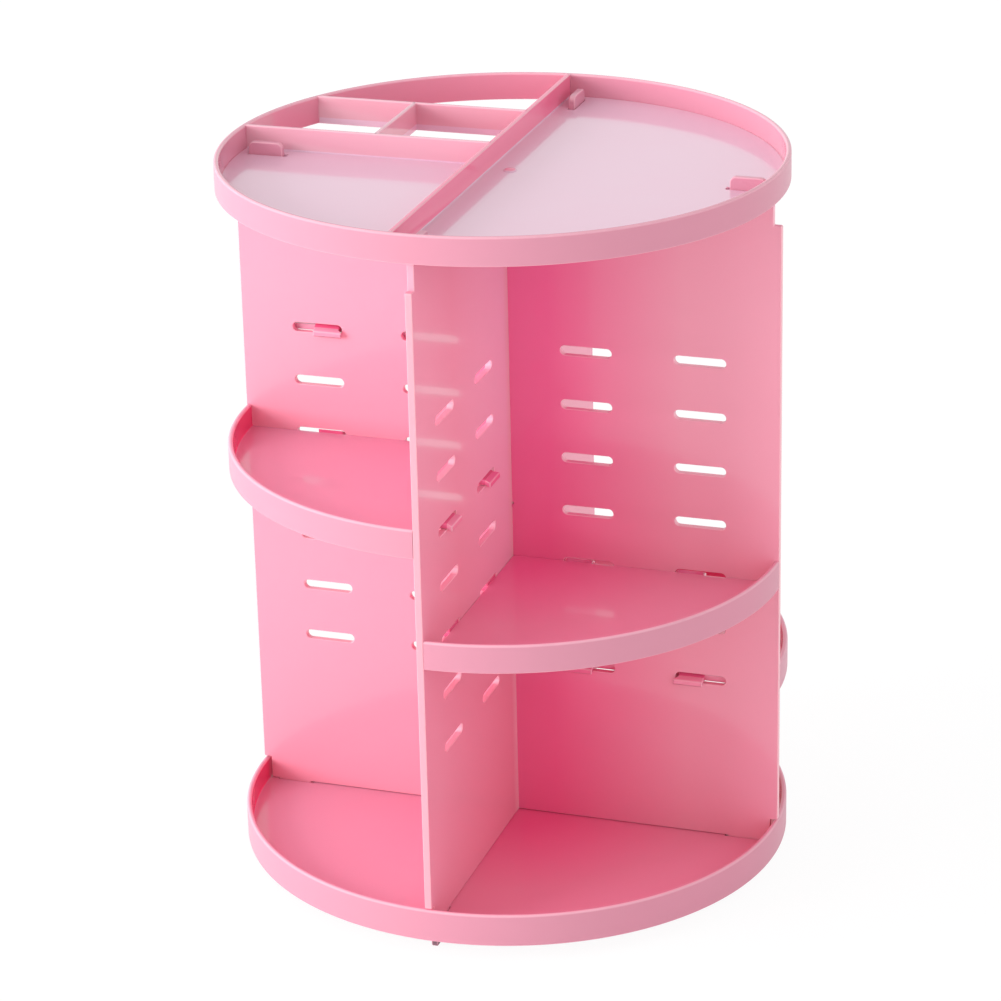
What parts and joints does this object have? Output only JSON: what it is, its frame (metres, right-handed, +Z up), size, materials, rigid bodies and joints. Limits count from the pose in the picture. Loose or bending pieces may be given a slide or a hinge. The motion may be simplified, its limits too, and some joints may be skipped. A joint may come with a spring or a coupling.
{
  "type": "rotating makeup organizer",
  "caption": "Rotating makeup organizer: a ball-race turntable with crossed slotted panels, hooked quarter-round shelf trays at set levels and a divided top tray.",
  "frame": {"origin": "on the turning axis, at the height of the surface that the feet stand on", "axes": "+Z up along the turning axis, +X along the wide panel to the right, +Y along the deep panel to the back"},
  "size_m": [0.23, 0.23, 0.3035],
  "materials": {
    "turntable_plastic": "moulded pink plastic",
    "foot_rubber": "matt black rubber",
    "cage_plastic": "natural moulded plastic",
    "ball_steel": "polished steel",
    "zinc_steel": "zinc plated",
    "base_tray_plastic": "glossy pink",
    "panel_plastic": "high gloss pink",
    "top_tray_plastic": "glossy pink",
    "shelf_plastic": "glossy pink"
  },
  "bodies": {
    "base_stand": {"turntable_base": "turntable_plastic", "rubber_foot_1": "foot_rubber", "rubber_foot_2": "foot_rubber", "rubber_foot_3": "foot_rubber", "rubber_foot_4": "foot_rubber", "rubber_foot_5": "foot_rubber", "rubber_foot_6": "foot_rubber"},
    "carousel": {"base_tray": "base_tray_plastic", "wide_panel": "panel_plastic", "deep_panel": "panel_plastic", "pivot_washer": "zinc_steel", "pivot_screw": "zinc_steel"},
    "cage": {"ball_cage": "cage_plastic", "bearing_ball_01": "ball_steel", "bearing_ball_02": "ball_steel", "bearing_ball_03": "ball_steel", "bearing_ball_04": "ball_steel", "bearing_ball_05": "ball_steel", "bearing_ball_06": "ball_steel", "bearing_ball_07": "ball_steel", "bearing_ball_08": "ball_steel", "bearing_ball_09": "ball_steel", "bearing_ball_10": "ball_steel", "bearing_ball_11": "ball_steel", "bearing_ball_12": "ball_steel"},
    "shelf_front_left": {"shelf_tray_front_left": "shelf_plastic"},
    "shelf_front_right": {"shelf_tray_front_right": "shelf_plastic"},
    "shelf_rear_right": {"shelf_tray_rear_right": "shelf_plastic"},
    "shelf_rear_left": {"shelf_tray_rear_left": "shelf_plastic"},
    "top_tray_body": {"top_tray": "top_tray_plastic"}
  },
  "joints": [
    {"name": "turntable_spin", "type": "hinge", "parent": "base_stand", "child": "carousel", "pos_m": [0, 0, 0], "axis": [0, 0, 1], "continuous": true},
    {"name": "cage_spin", "type": "hinge", "parent": "base_stand", "child": "cage", "pos_m": [0, 0, 0], "axis": [0, 0, 1], "continuous": true},
    {"name": "shelf_front_left_slide", "type": "slide", "parent": "carousel", "child": "shelf_front_left", "axis": [-0.6667, -0.6667, 0.3333], "range_m": [0, 0.1275]},
    {"name": "shelf_front_right_slide", "type": "slide", "parent": "carousel", "child": "shelf_front_right", "axis": [0.6667, -0.6667, 0.3333], "range_m": [0, 0.1275]},
    {"name": "shelf_rear_right_slide", "type": "slide", "parent": "carousel", "child": "shelf_rear_right", "axis": [0.6667, 0.6667, 0.3333], "range_m": [0, 0.1275]},
    {"name": "shelf_rear_left_slide", "type": "slide", "parent": "carousel", "child": "shelf_rear_left", "axis": [-0.6667, 0.6667, 0.3333], "range_m": [0, 0.1275]},
    {"name": "top_tray_lift", "type": "slide", "parent": "carousel", "child": "top_tray_body", "axis": [0, 0, 1], "range_m": [0, 0.03]}
  ],
  "couplings": [
    {"joint": "cage_spin", "follows": "turntable_spin", "ratio": 0.5}
  ]
}
